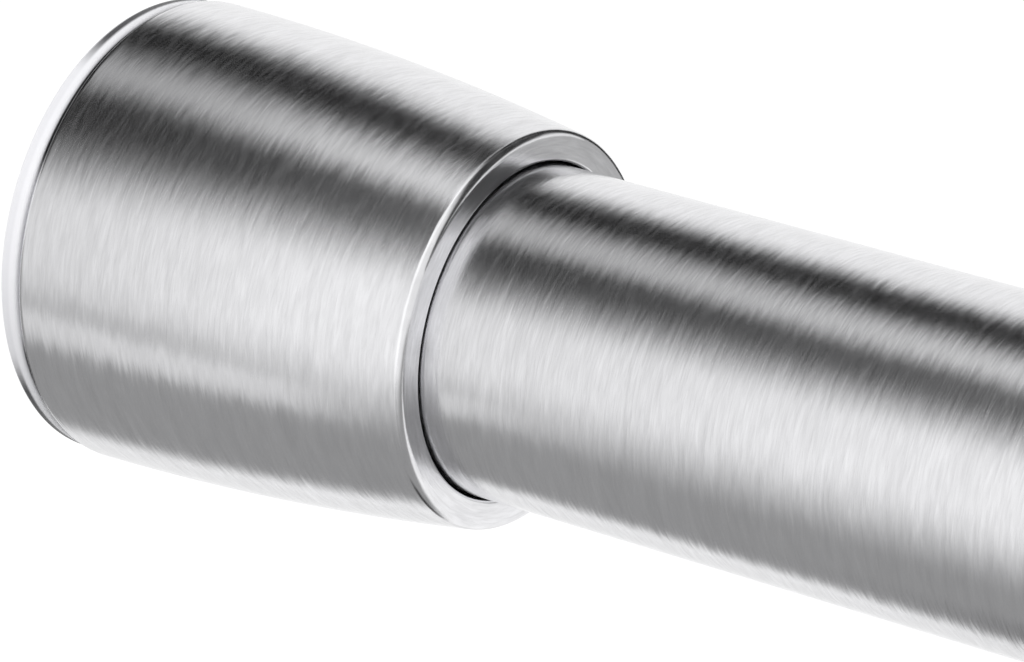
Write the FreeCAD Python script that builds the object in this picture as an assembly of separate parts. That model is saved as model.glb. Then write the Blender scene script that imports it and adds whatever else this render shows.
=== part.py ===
import FreeCAD, Part
import math
import os

# A spring tension rod that holds a curtain between two walls with no screws.
# Two steel tubes slide one in the other. Each wall end has a moulded plug, a soft pad and a bell-shaped
# cover of drawn steel. Inside, a lock grips the larger tube where the length is set, and a coil spring
# between the lock and the smaller tube presses both pads against the walls.
# Millimetres. The origin is the centre of the wall face of the larger tube's pad. +X runs along the rod
# to the smaller tube, and +Z is up. The rod is at its shortest length, with nothing pushed in.

# Reach, from wall face to wall face
closed_length = 609.6
spring_travel = 25.0
travel_spare = 1.0

# Tubes
outer_tube_radius = 12.7
tube_wall = 0.7
telescope_gap = 0.9
bead_depth = 0.45
bead_half_width = 1.6
bead_from_end = 6.0

# Clearances
sliding_clearance = 0.05
press_clearance = 0.02
free_clearance = 0.4

# End covers
cover_length = 34.1
cover_sheet = 0.8
cover_hole_gap = 0.2
cover_front_land = 2.3
cover_flare = 2.8
cover_front_round = 0.7
cover_hole_bevel = 0.25
cover_rear_bevel = 0.6

# Wall pads
pad_rim = 1.6
pad_rim_inset = 0.3
pad_rim_bevel = 0.35
pad_shadow_gap = 0.16
pad_core = 2.6
pad_rib_pitch = 3.0
pad_rib_width = 1.2
pad_rib_depth = 0.6
pad_rib_count = 4
pad_stem_radius = 3.0
pad_barb_radius = 4.0
pad_barb_length = 3.0

# End plugs
plug_disc = 2.8
plug_sleeve_wall = 1.2
plug_sleeve_length = 6.5
plug_spigot_wall = 1.6
plug_spigot_length = 18.0
plug_spigot_bevel = 0.8
plug_gusset_width = 1.4
plug_gusset_count = 8
plug_key_width = 1.6
plug_key_count = 4

# Collar in the larger tube's mouth
collar_length = 20.0
collar_lip = 1.8
collar_lip_bevel = 0.5
collar_slot_width = 1.6
collar_slot_length = 12.0
collar_slot_count = 4

# Push rod
rod_radius = 3.0
rod_collar_radius = 6.0
rod_collar = 2.5
rod_tip = 2.0
rod_tail_radius = 2.5
rod_tail_length = 8.0
rod_bevel = 0.5

# Lock
lock_from_plug = 3.0
clip_radius = 5.5
clip_sheet = 0.6
clip_dome = 0.8
clip_tooth_count = 6
clip_slot_width = 0.8
clip_tooth_length = 1.6
cone_play = 0.3
cone_length = 17.0
cone_behind = 5.0
cone_gap = 0.4
cone_fin_width = 1.6
cone_draw = 1.5
expander_length = 30.0
expander_hub = 8.0
finger_wall = 1.4
expander_taper_length = 14.0
expander_taper_drop = 2.6
expander_slot_width = 2.2
expander_slot_spare = 5.5
finger_count = 4
grip_ring_thickness = 1.9
grip_ring_width = 5.0
grip_ring_bevel = 0.4
grip_ring_from_mouth = 3.0
grip_ring_spacing = 8.0
expander_bevel = 0.6
thrust_washer_radius = 8.0
thrust_washer = 1.0

# Spring
spring_length = 92.0
spring_mean_radius = 8.5
spring_wire_radius = 0.8
spring_active_turns = 5
spring_closed_turns = 1
spring_ground = 0.35
wire_sides = 8
seat_disc = 1.2
seat_boss = 3.0
seat_boss_wall = 1.0
seat_rim = 1.0

# Guide in the smaller tube's inner end
guide_flange = 6.0
guide_bevel = 0.6
guide_body = 24.0
guide_hub_radius = 6.0
guide_hub_wall = 1.6
guide_web_width = 1.4
guide_web_count = 6
guide_floor = 4.0
guide_relief_width = 3.0
guide_relief_depth = 0.6
tail_washer_radius = 8.0
tail_washer = 1.2
tail_nut_flats = 8.0
tail_nut_height = 4.0
tail_nut_bevel = 0.5

# Sizes that follow from the ones above
outer_bore = outer_tube_radius - tube_wall
inner_tube_radius = outer_bore - telescope_gap
inner_bore = inner_tube_radius - tube_wall
cover_start = pad_rim + pad_shadow_gap
cover_front = cover_start + cover_length
cover_front_radius = outer_tube_radius + cover_hole_gap + cover_front_land
cover_rear_radius = cover_front_radius + cover_flare
cover_bulge_radius = (cover_front**2 + cover_flare**2) / (2 * cover_flare)
plug_face = pad_core + plug_disc
mouth = closed_length - cover_front - spring_travel - travel_spare - collar_lip
rod_hex_flats = 2 * rod_radius
rod_hex_radius = rod_radius / math.cos(math.pi / 6)
grip_ring_outer = outer_bore - sliding_clearance
grip_ring_inner = grip_ring_outer - grip_ring_thickness
expander_radius = outer_bore - free_clearance
expander_slot_length = cone_length - cone_behind + cone_draw + expander_slot_spare
expander_mouth_radius = grip_ring_inner - press_clearance - finger_wall

# Places along X, each from its neighbour's
clip_face = plug_face + plug_spigot_length + lock_from_plug + rod_tip
cone_start = clip_face + clip_dome + clip_sheet + cone_play
expander_start = cone_start + cone_behind
expander_end = expander_start + expander_length
rod_collar_start = expander_end + thrust_washer
front_seat_start = rod_collar_start + rod_collar
spring_start = front_seat_start + seat_disc
spring_end = spring_start + spring_length
guide_start = spring_end + seat_disc
inner_tube_start = guide_start + guide_flange
guide_end = inner_tube_start + guide_body
tail_nut_start = guide_end + tail_washer
rod_start = clip_face - rod_tip
rod_end = guide_end + rod_tail_length
plug_bead = plug_face + plug_spigot_length - bead_from_end
guide_bead = inner_tube_start + bead_from_end
grip_ring_starts = [
    expander_start + grip_ring_from_mouth,
    expander_start + grip_ring_from_mouth + grip_ring_spacing,
]

V = FreeCAD.Vector
ORIGIN = V(0, 0, 0)
ALONG = V(1, 0, 0)
full_turn = 360.0


def outline(start, *moves):
    """A closed outline of (x, radius) corners. A move that holds a pair of points is an arc through the
    first of them."""
    here = V(start[0], 0, start[1])
    first = here
    edges = []
    for move in moves:
        if isinstance(move[0], tuple):
            through, there = (V(x, 0, r) for x, r in move)
            edges.append(Part.Arc(here, through, there).toShape())
        else:
            there = V(move[0], 0, move[1])
            edges.append(Part.LineSegment(here, there).toShape())
        here = there
    edges.append(Part.LineSegment(here, first).toShape())
    return Part.Wire(edges)


def turned(start, *moves):
    """A solid turned about the rod's axis from an outline."""
    return Part.Face(outline(start, *moves)).revolve(ORIGIN, ALONG, full_turn)


def ring(x0, x1, inner, outer):
    """A plain turned ring or, with no inner radius, a disc."""
    return turned((x0, inner), (x1, inner), (x1, outer), (x0, outer))


def edges_at(solid, circles):
    """The circular edges of a turned solid that lie at the given (x, radius) places."""
    found = []
    for edge in solid.Edges:
        if isinstance(edge.Curve, Part.Circle):
            here = (edge.Curve.Center.x, edge.Curve.Radius)
            if any(math.dist(here, circle) < 1e-4 for circle in circles):
                found.append(edge)
    return found


def rounded(solid, radius, *circles):
    """A turned solid with those edges rounded."""
    return solid.makeFillet(radius, edges_at(solid, circles))


def bevelled(solid, width, *circles):
    """A turned solid with those edges bevelled."""
    return solid.makeChamfer(width, edges_at(solid, circles))


def around(shape, count, first_angle=0.0):
    """Copies of a shape set evenly round the rod's axis."""
    copies = []
    for i in range(count):
        copy = shape.copy()
        copy.rotate(ORIGIN, ALONG, first_angle + i * full_turn / count)
        copies.append(copy)
    return copies


def bar_outward(x0, x1, inner, outer, width):
    """A block that stands out from the axis between two radii, along +Z."""
    return Part.makeBox(x1 - x0, width, outer - inner, V(x0, -width / 2, inner))


def hexagon_bar(x0, x1, flats):
    """A six-sided bar along the axis."""
    radius = flats / 2 / math.cos(math.pi / 6)
    corners = [
        V(x0, radius * math.cos(i * math.pi / 3), radius * math.sin(i * math.pi / 3))
        for i in range(7)
    ]
    return Part.Face(Part.makePolygon(corners)).extrude(V(x1 - x0, 0, 0))


def at_far_wall(shape):
    """A piece of the wall end turned to face the other wall."""
    turned_round = shape.copy()
    turned_round.rotate(ORIGIN, V(0, 0, 1), full_turn / 2)
    turned_round.translate(V(closed_length, 0, 0))
    return turned_round


def cover_radius(x, inset=0.0):
    """The cover's radius at x, or that of its inner face when inset by the sheet."""
    bulge = cover_bulge_radius - inset
    return cover_rear_radius - cover_bulge_radius + math.sqrt(bulge**2 - x**2)


def cover(tube_radius):
    """A drawn bell: its side is one long arc, tangent at the wall, and its front is turned in to a hole
    round the tube."""
    hole = tube_radius + cover_hole_gap
    inner_front = cover_front - cover_sheet
    middle = (cover_start + cover_front) / 2
    bell = turned(
        (cover_start, cover_radius(cover_start)),
        ((middle, cover_radius(middle)), (cover_front, cover_radius(cover_front))),
        (cover_front, hole),
        (inner_front, hole),
        (inner_front, cover_radius(inner_front, cover_sheet)),
        (
            (middle, cover_radius(middle, cover_sheet)),
            (cover_start, cover_radius(cover_start, cover_sheet)),
        ),
    )
    bell = rounded(bell, cover_front_round, (cover_front, cover_radius(cover_front)))
    bell = bevelled(bell, cover_hole_bevel, (cover_front, hole))
    return bevelled(bell, cover_rear_bevel, (cover_start, cover_radius(cover_start)))


def wall_pad():
    """A soft pad: a rim that shows behind the cover, a core inside the cover's mouth, ribs that bite on
    the wall and a barbed stem that is pulled through the plug."""
    rim = cover_rear_radius - pad_rim_inset
    core = cover_radius(cover_start, cover_sheet) - press_clearance
    pad = ring(0, pad_rim, 0, rim)
    pad = bevelled(pad, pad_rim_bevel, (0, rim), (pad_rim, rim))
    pad = pad.fuse(ring(pad_rim, pad_core, 0, core))
    for i in range(pad_rib_count):
        groove = rim - pad_rib_width - pad_rib_pitch * i
        pad = pad.cut(ring(0, pad_rib_depth, groove - pad_rib_pitch + pad_rib_width, groove))
    barb_start = plug_face + press_clearance
    stem = turned(
        (pad_core, 0),
        (pad_core, pad_stem_radius),
        (barb_start, pad_stem_radius),
        (barb_start, pad_barb_radius),
        (barb_start + pad_barb_length, pad_stem_radius / 2),
        (barb_start + pad_barb_length, 0),
    )
    return pad.fuse(stem).removeSplitter()


def plug(tube_radius):
    """A moulded plug: a disc that carries the cover, a spigot in the tube with stiffening ribs inside,
    a short sleeve round the tube and gussets between sleeve and disc."""
    spigot = tube_radius - tube_wall - sliding_clearance
    sleeve = tube_radius + sliding_clearance
    sleeve_end = plug_face + plug_sleeve_length
    disc = ring(
        pad_core,
        plug_face,
        pad_stem_radius + press_clearance,
        cover_radius(plug_face, cover_sheet) - press_clearance,
    )
    spigot_end = plug_face + plug_spigot_length
    spigot_wall = ring(plug_face, spigot_end, spigot - plug_spigot_wall, spigot)
    spigot_wall = bevelled(spigot_wall, plug_spigot_bevel, (spigot_end, spigot))
    key = bar_outward(
        plug_face,
        spigot_end - plug_spigot_bevel,
        pad_barb_radius + free_clearance,
        spigot - plug_spigot_wall / 2,
        plug_key_width,
    )
    sleeve_wall = ring(plug_face, sleeve_end, sleeve, sleeve + plug_sleeve_wall)
    foot = sleeve + plug_sleeve_wall / 2
    gusset = Part.Face(
        outline(
            (plug_face, foot),
            (plug_face, cover_radius(plug_face, cover_sheet) - free_clearance),
            (
                plug_face + plug_sleeve_length / 3,
                cover_radius(sleeve_end, cover_sheet) - free_clearance,
            ),
            (sleeve_end, sleeve + plug_sleeve_wall),
            (sleeve_end, foot),
        )
    ).extrude(V(0, plug_gusset_width, 0))
    gusset.translate(V(0, -plug_gusset_width / 2, 0))
    ribs = around(gusset, plug_gusset_count) + around(key, plug_key_count)
    body = disc.fuse([spigot_wall, sleeve_wall] + ribs)
    return body.cut(bead_groove(tube_radius, plug_bead)).removeSplitter()


def bead_groove(tube_radius, middle):
    """What a plug lacks where its tube is rolled into it."""
    bore = tube_radius - tube_wall
    start = middle - bead_half_width
    end = middle + bead_half_width
    depth = bead_depth + 2 * sliding_clearance
    return turned(
        (start, bore),
        (start, bore - sliding_clearance),
        ((middle, bore - depth), (end, bore - sliding_clearance)),
        (end, bore),
    )


def tube(start, end, radius, beads):
    """A tube with a shallow bead rolled into it at each of the given places."""
    bore = radius - tube_wall
    outside = []
    inside = []
    for middle in beads:
        before = middle - bead_half_width
        after = middle + bead_half_width
        outside += [(before, radius), ((middle, radius - bead_depth), (after, radius))]
    for middle in reversed(beads):
        before = middle - bead_half_width
        after = middle + bead_half_width
        inside += [(after, bore), ((middle, bore - bead_depth), (before, bore))]
    return turned((start, radius), *outside, (end, radius), (end, bore), *inside, (start, bore))


def tube_collar():
    """A moulded bush in the larger tube's mouth. Its slotted end flexes as it is pressed in."""
    bore = inner_tube_radius + sliding_clearance
    body = ring(mouth - collar_length, mouth, bore, outer_bore - press_clearance)
    lip = ring(mouth, mouth + collar_lip, bore, outer_tube_radius)
    lip = bevelled(lip, collar_lip_bevel, (mouth + collar_lip, outer_tube_radius))
    slot = bar_outward(
        mouth - collar_length,
        mouth - collar_length + collar_slot_length,
        0,
        outer_tube_radius,
        collar_slot_width,
    )
    return body.fuse(lip).cut(around(slot, collar_slot_count)).removeSplitter()


def expander_seat(x):
    """The radius of the tapered seat inside the lock's fingers."""
    return expander_mouth_radius - (x - expander_start) * expander_taper_drop / expander_taper_length


def lock_expander():
    """A split sleeve. The cone, drawn into its tapered mouth, spreads its fingers and the two rubber
    rings round them against the larger tube's bore."""
    taper_end = expander_start + expander_taper_length
    hub_start = expander_end - expander_hub
    hub_bore = rod_radius + sliding_clearance
    body = turned(
        (expander_start, expander_seat(expander_start)),
        (taper_end, expander_seat(taper_end)),
        (hub_start, expander_seat(taper_end)),
        (hub_start, hub_bore),
        (expander_end, hub_bore),
        (expander_end, expander_radius),
        (expander_start, expander_radius),
    )
    body = bevelled(body, expander_bevel, (expander_end, expander_radius))
    for start in grip_ring_starts:
        body = body.cut(
            ring(
                start - press_clearance,
                start + grip_ring_width + press_clearance,
                grip_ring_inner - press_clearance,
                outer_bore,
            )
        )
    slot = bar_outward(
        expander_start,
        expander_start + expander_slot_length,
        0,
        outer_bore,
        expander_slot_width,
    )
    return body.cut(around(slot, finger_count)).removeSplitter()


def grip_ring(start):
    """A rubber band round the lock's fingers."""
    end = start + grip_ring_width
    band = ring(start, end, grip_ring_inner, grip_ring_outer)
    return bevelled(band, grip_ring_bevel, (start, grip_ring_outer), (end, grip_ring_outer))


def lock_cone():
    """A threaded cone with a fin in each slot between the fingers, so that it is drawn in and can't
    turn. Its thread is left plain."""
    end = cone_start + cone_length
    bore = rod_radius + sliding_clearance
    body = turned(
        (cone_start, bore),
        (cone_start, expander_seat(cone_start) - cone_gap),
        (end, expander_seat(end) - cone_gap),
        (end, bore),
    )
    fin = bar_outward(
        cone_start,
        end,
        (bore + expander_seat(end) - cone_gap) / 2,
        grip_ring_inner - free_clearance,
        cone_fin_width,
    )
    return body.fuse(around(fin, finger_count)).removeSplitter()


def cone_stop_clip():
    """A domed push-on washer whose teeth grip the rod's tip, so that the cone can't run off it."""
    bore = rod_radius + press_clearance
    crown = clip_face + clip_dome
    washer = turned(
        (clip_face, clip_radius),
        (clip_face + clip_sheet, clip_radius),
        (crown + clip_sheet, bore),
        (crown, bore),
    )
    slot = bar_outward(
        clip_face,
        crown + clip_sheet,
        0,
        bore + clip_tooth_length,
        clip_slot_width,
    )
    return washer.cut(around(slot, clip_tooth_count)).removeSplitter()


def push_rod():
    """A rod with a screw end for the cone, a collar that pushes the lock, a six-sided shank that turns
    with the smaller tube and slides through its guide, and a thinner tail for the nut."""
    screw = Part.makeCylinder(rod_radius, rod_collar_start - rod_start, V(rod_start, 0, 0), ALONG)
    screw = bevelled(screw, rod_bevel, (rod_start, rod_radius))
    collar = Part.makeCylinder(rod_collar_radius, rod_collar, V(rod_collar_start, 0, 0), ALONG)
    shank = hexagon_bar(front_seat_start, guide_end, rod_hex_flats)
    tail = Part.makeCylinder(rod_tail_radius, rod_tail_length, V(guide_end, 0, 0), ALONG)
    tail = bevelled(tail, rod_bevel, (rod_end, rod_tail_radius))
    return screw.fuse([collar, shank, tail]).removeSplitter()


def spring_seat(face, into_spring):
    """A washer with a boss that centres the spring. It lies outside the spring's end face, and
    into_spring is +1 or -1, the way from the seat to the spring."""
    bore = rod_hex_radius + sliding_clearance
    boss = spring_mean_radius - spring_wire_radius - free_clearance
    back = face - into_spring * seat_disc
    front = face + into_spring * seat_boss
    return turned(
        (back, bore),
        (back, spring_mean_radius + spring_wire_radius + seat_rim),
        (face, spring_mean_radius + spring_wire_radius + seat_rim),
        (face, boss),
        (front, boss),
        (front, boss - seat_boss_wall),
        (face, boss - seat_boss_wall),
        (face, bore),
    )


def spring_height(turn):
    """How far along the axis the wire's centre is after so many turns."""
    closed = spring_closed_turns
    last = spring_active_turns + 2 * closed
    start = spring_start + spring_wire_radius - spring_ground
    end = spring_end - spring_wire_radius + spring_ground
    closed_lead = 2 * spring_wire_radius + press_clearance
    active_rise = end - start - 2 * closed * closed_lead
    if turn <= closed:
        return start + turn * closed_lead
    if turn >= last - closed:
        return end - (last - turn) * closed_lead
    return start + closed * closed_lead + (turn - closed) * active_rise / spring_active_turns


def spring_point(turn):
    """A point on the wire's centre line."""
    angle = 2 * math.pi * turn
    return V(
        spring_height(turn),
        spring_mean_radius * math.cos(angle),
        spring_mean_radius * math.sin(angle),
    )


def spring_way(turn):
    """The unit direction of the wire there, midway between the two leads where they meet."""
    step = 0.01
    return (spring_point(turn + step) - spring_point(turn - step)).normalize()


def arc_from(start, corner, end):
    """An arc that leaves start towards corner and arrives at end from it."""
    middle = (start + end) / 2
    rise = (corner - middle).Length
    half = math.atan2(rise, (end - start).Length / 2)
    radius = (end - start).Length / 2 / math.sin(half)
    sagitta = radius * (1 - math.cos(half))
    return Part.Arc(start, middle + (corner - middle).normalize() * sagitta, end).toShape()


def two_arcs(start, way, end, end_way):
    """Two arcs that join two points smoothly, in the given directions."""
    span = end - start
    ways = way + end_way
    square = ways.dot(ways) - 4
    root = math.sqrt(span.dot(ways) ** 2 - square * span.dot(span))
    reach = (span.dot(ways) - root) / square
    first = start + way * reach
    second = end - end_way * reach
    join = (first + second) / 2
    return [arc_from(start, first, join), arc_from(join, second, end)]


def tension_spring():
    """A coil spring with closed and ground ends, as long as it is in the rod when nothing pushes on it.
    Its wire has flat sides here, of the round wire's section."""
    halves = 2 * (spring_active_turns + 2 * spring_closed_turns)
    centre_line = []
    for i in range(halves):
        here, there = i / 2, (i + 1) / 2
        centre_line += two_arcs(
            spring_point(here), spring_way(here), spring_point(there), spring_way(there)
        )
    start = spring_point(0)
    way = centre_line[0].tangentAt(centre_line[0].FirstParameter)
    side = way.cross(ALONG).normalize()
    up = side.cross(way).normalize()
    slice_angle = 2 * math.pi / wire_sides
    radius = spring_wire_radius * math.sqrt(slice_angle / math.sin(slice_angle))
    corners = []
    for i in range(wire_sides + 1):
        angle = (i + 0.5) * slice_angle
        corners.append(start + side * (radius * math.cos(angle)) + up * (radius * math.sin(angle)))
    wire = Part.Wire(centre_line).makePipe(Part.Face(Part.makePolygon(corners)))
    return wire.common(ring(spring_start, spring_end, 0, outer_bore)).Solids[0]


def rod_guide():
    """A moulded guide in the smaller tube's inner end: a flange that slides in the larger tube, a cored
    body, and a six-sided hole for the rod's shank."""
    flange = outer_bore - 2 * sliding_clearance
    body = inner_bore - sliding_clearance
    guide = ring(guide_start, inner_tube_start, 0, flange)
    guide = bevelled(guide, guide_bevel, (guide_start, flange), (inner_tube_start, flange))
    guide = guide.fuse(ring(inner_tube_start, guide_end, 0, body))
    guide = guide.cut(
        ring(inner_tube_start + guide_floor, guide_end, guide_hub_radius, body - guide_hub_wall)
    )
    web = bar_outward(
        inner_tube_start,
        guide_end,
        (rod_hex_radius + guide_hub_radius) / 2,
        body - guide_hub_wall / 2,
        guide_web_width,
    )
    guide = guide.fuse(around(web, guide_web_count))
    relief = bar_outward(
        guide_start,
        inner_tube_start,
        flange - guide_relief_depth,
        outer_tube_radius,
        guide_relief_width,
    )
    hole = hexagon_bar(guide_start, guide_end, rod_hex_flats + 2 * sliding_clearance)
    guide = guide.cut([hole] + around(relief, guide_web_count))
    return guide.cut(bead_groove(inner_tube_radius, guide_bead)).removeSplitter()


def rod_stop_nut():
    """The nut at the rod's tail, with its corners chamfered."""
    end = tail_nut_start + tail_nut_height
    corner = tail_nut_flats / 2 / math.cos(math.pi / 6)
    blank = hexagon_bar(tail_nut_start, end, tail_nut_flats)
    envelope = turned(
        (tail_nut_start, rod_tail_radius + press_clearance),
        (tail_nut_start, tail_nut_flats / 2),
        (tail_nut_start + tail_nut_bevel, corner),
        (end - tail_nut_bevel, corner),
        (end, tail_nut_flats / 2),
        (end, rod_tail_radius + press_clearance),
    )
    return blank.common(envelope)


pieces = {
    "outer_tube": tube(plug_face, mouth, outer_tube_radius, [plug_bead]),
    "outer_wall_pad": wall_pad(),
    "outer_end_plug": plug(outer_tube_radius),
    "outer_end_cover": cover(outer_tube_radius),
    "tube_collar": tube_collar(),
    "lock_expander": lock_expander(),
    "front_grip_ring": grip_ring(grip_ring_starts[0]),
    "rear_grip_ring": grip_ring(grip_ring_starts[1]),
    "lock_cone": lock_cone(),
    "cone_stop_clip": cone_stop_clip(),
    "push_rod": push_rod(),
    "thrust_washer": ring(
        expander_end, rod_collar_start, rod_radius + sliding_clearance, thrust_washer_radius
    ),
    "front_spring_seat": spring_seat(spring_start, 1),
    "tension_spring": tension_spring(),
    "rear_spring_seat": spring_seat(spring_end, -1),
    "rod_guide": rod_guide(),
    "rod_stop_washer": ring(
        guide_end, tail_nut_start, rod_tail_radius + press_clearance, tail_washer_radius
    ),
    "rod_stop_nut": rod_stop_nut(),
    "inner_tube": tube(
        inner_tube_start,
        closed_length - plug_face,
        inner_tube_radius,
        [guide_bead, closed_length - plug_bead],
    ),
    "inner_wall_pad": at_far_wall(wall_pad()),
    "inner_end_plug": at_far_wall(plug(inner_tube_radius)),
    "inner_end_cover": at_far_wall(cover(inner_tube_radius)),
}

os.makedirs("parts", exist_ok=True)
for name, shape in pieces.items():
    solids = shape.Solids
    if len(solids) != 1 or not solids[0].isValid():
        raise ValueError(f"{name} is {len(solids)} solids, or its solid isn't valid")
    solids[0].exportStep(f"parts/{name}.step")
    box = solids[0].BoundBox
    print(f"{name}: x {box.XMin:.2f} to {box.XMax:.2f}, {solids[0].Volume:.1f} cubic mm")
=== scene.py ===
# %% [markdown]
# # A spring tension rod, dressed in Blender
# The rod holds a curtain between two walls with no screws. Two brushed steel tubes slide one in the
# other, a spring inside presses a soft pad against each wall, and a bell-shaped cover of brushed steel
# hides each pad. The frame already holds every piece at its real size and place.
# This script gives the pieces their finish: it turns smooth copies of the round pieces that show, winds a
# smooth spring, writes the finishes as nodes, and builds a small studio round them.

# %% Load the frame and keep the size of what it holds
import math

import bpy
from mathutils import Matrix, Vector


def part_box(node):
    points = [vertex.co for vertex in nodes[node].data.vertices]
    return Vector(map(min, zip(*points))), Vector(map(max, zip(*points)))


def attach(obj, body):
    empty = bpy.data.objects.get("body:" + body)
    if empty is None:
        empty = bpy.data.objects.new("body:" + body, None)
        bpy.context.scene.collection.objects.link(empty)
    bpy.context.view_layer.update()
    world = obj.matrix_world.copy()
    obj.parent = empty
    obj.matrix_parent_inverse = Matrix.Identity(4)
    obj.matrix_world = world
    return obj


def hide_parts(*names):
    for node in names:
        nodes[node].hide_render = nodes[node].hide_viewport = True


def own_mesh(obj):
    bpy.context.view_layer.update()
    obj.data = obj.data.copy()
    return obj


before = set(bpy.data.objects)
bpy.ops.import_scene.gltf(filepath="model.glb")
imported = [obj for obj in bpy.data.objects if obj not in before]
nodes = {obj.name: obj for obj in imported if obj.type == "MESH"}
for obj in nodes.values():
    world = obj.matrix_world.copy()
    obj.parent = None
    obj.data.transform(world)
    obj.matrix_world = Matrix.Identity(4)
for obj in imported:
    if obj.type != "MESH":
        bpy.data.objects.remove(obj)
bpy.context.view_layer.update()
MM = 0.001
rod_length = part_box("inner_wall_pad")[1].x / MM
print("nodes in the frame:", len(nodes), "rod length:", round(rod_length, 1), "mm")

# %% [markdown]
# ## The camera
# The picture is taken with a long lens from in front, to the right and a little above, so that the wall
# end fills the frame and the tube runs out of it to the right. A long lens keeps the tube's sides almost
# parallel. The camera is put by its two angles and its distance from a point close to the middle of the
# cover's front, which is how such a view is set up on a tripod.

# %% Put the camera
camera_turn = math.radians(36.6)
camera_height = math.radians(22.74)
camera_distance = 522.8 * MM
camera_lens = 248.4
aim = Vector((35.1, -0.57, 0.04)) * MM


def placed(name, data):
    """A new object in the scene, of that mesh, lamp or camera."""
    made = bpy.data.objects.new(name, data)
    bpy.context.scene.collection.objects.link(made)
    return made


towards_camera = Vector((
    math.sin(camera_turn) * math.cos(camera_height),
    -math.cos(camera_turn) * math.cos(camera_height),
    math.sin(camera_height),
))
camera = placed("camera", bpy.data.cameras.new("camera"))
camera.data.sensor_width = 36
camera.data.lens = camera_lens
camera.data.clip_start = 10 * MM
camera.data.clip_end = 100
camera.location = aim + towards_camera * camera_distance
camera.rotation_mode = "QUATERNION"
camera.rotation_quaternion = (-towards_camera).to_track_quat("-Z", "Y")
bpy.context.scene.camera = camera
bpy.context.scene.view_settings.view_transform = "Standard"
print("camera stands at", [round(c, 4) for c in camera.location])

# %% [markdown]
# ## Small helpers for node trees
# Finishes, studio cards and turned pieces are all written as node trees. Two helpers keep them short: one
# adds a node with its settings and its input values, and one joins an output to an input.

# %% Helpers for node trees
def add(tree, kind, settings=None, **values):
    """A new node, with attributes from settings and input values by name."""
    node = tree.nodes.new(kind)
    for name, value in (settings or {}).items():
        setattr(node, name, value)
    for name, value in values.items():
        node.inputs[name.replace("_", " ")].default_value = value
    return node


def join(tree, source, output, target, entry):
    """A link from one node's output to another node's input."""
    tree.links.new(source.outputs[output], target.inputs[entry])


# %% [markdown]
# ## Turned pieces
# Tubes, covers, pads and the collar are all round about the rod's axis. On a lathe such a piece is an
# outline turned once about the axis, and a Geometry Nodes tree can do just that: the outline goes in as a
# closed line, a circle is the path, and Curve to Mesh carries the line round it. The tree is built once
# and every turned piece uses it, so all of them are equally round and none has a seam. A cylinder for each
# would do for the long sides, but not for beads, ribs and rounded edges, which an outline simply holds.

# %% How a tree that makes a shape begins and ends
def shape_tree(name, inputs, made):
    """A tree that makes a shape from inputs, given as (name, kind), and its input and output nodes."""
    tree = bpy.data.node_groups.new(name, "GeometryNodeTree")
    for entry, kind in inputs:
        tree.interface.new_socket(entry, in_out="INPUT", socket_type="NodeSocket" + kind)
    tree.interface.new_socket(made, in_out="OUTPUT", socket_type="NodeSocketGeometry")
    return tree, add(tree, "NodeGroupInput"), add(tree, "NodeGroupOutput")


def paint_and_end(tree, start, shape, end):
    """The last nodes of a tree: they make its shape real, give it the tree's finish and send it out."""
    real = add(tree, "GeometryNodeRealizeInstances")
    paint = add(tree, "GeometryNodeSetMaterial")
    join(tree, shape, "Geometry", real, "Geometry")
    join(tree, real, "Geometry", paint, "Geometry")
    join(tree, start, "Finish", paint, "Material")
    join(tree, paint, "Geometry", end, 0)


# %% The lathe tree
path_radius = 0.1
lathe_steps = 256
weld_reach = 1e-7


def lathe_tree():
    """A tree that turns a closed line about the rod's axis. The line's X is the radius less the path's
    radius, and its Y is the place along the rod."""
    inputs = [("Outline", "Geometry"), ("Steps", "Int"), ("Finish", "Material")]
    tree, start, end = shape_tree("Lathe", inputs, "Turned")
    line = add(tree, "GeometryNodeMeshToCurve")
    circle = add(tree, "GeometryNodeCurvePrimitiveCircle", {"mode": "RADIUS"}, Radius=path_radius)
    sweep = add(tree, "GeometryNodeCurveToMesh")
    lay = add(tree, "GeometryNodeTransform", Rotation=(0, -math.pi / 2, 0))
    weld = add(tree, "GeometryNodeMergeByDistance", Distance=weld_reach)
    join(tree, start, "Outline", line, "Mesh")
    join(tree, start, "Steps", circle, "Resolution")
    join(tree, circle, "Curve", sweep, "Curve")
    join(tree, line, "Curve", sweep, "Profile Curve")
    join(tree, sweep, "Mesh", lay, "Geometry")
    join(tree, lay, "Geometry", weld, "Geometry")
    paint_and_end(tree, start, weld, end)
    return tree


lathe = lathe_tree()
print("lathe tree has", len(lathe.nodes), "nodes")

# %% Set a tree to work and keep what it makes
smooth_below = math.radians(32)


def made_by(tree, name, start_mesh, **inputs):
    """The plain mesh object that a tree makes from a mesh, with the tree's inputs given by name."""
    source = placed(name + "_source", start_mesh)
    modifier = source.modifiers.new("tree", "NODES")
    modifier.node_group = tree
    for item in tree.interface.items_tree:
        key = item.name.replace(" ", "_")
        if item.in_out == "INPUT" and key in inputs:
            modifier[item.identifier] = inputs[key]
    seen = bpy.context.evaluated_depsgraph_get()
    mesh = bpy.data.meshes.new_from_object(source.evaluated_get(seen))
    bpy.data.objects.remove(source)
    mesh.name = name
    mesh.shade_smooth()
    mesh.set_sharp_from_angle(angle=smooth_below)
    print(name, "has", len(mesh.polygons), "faces")
    return placed(name, mesh)


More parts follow.
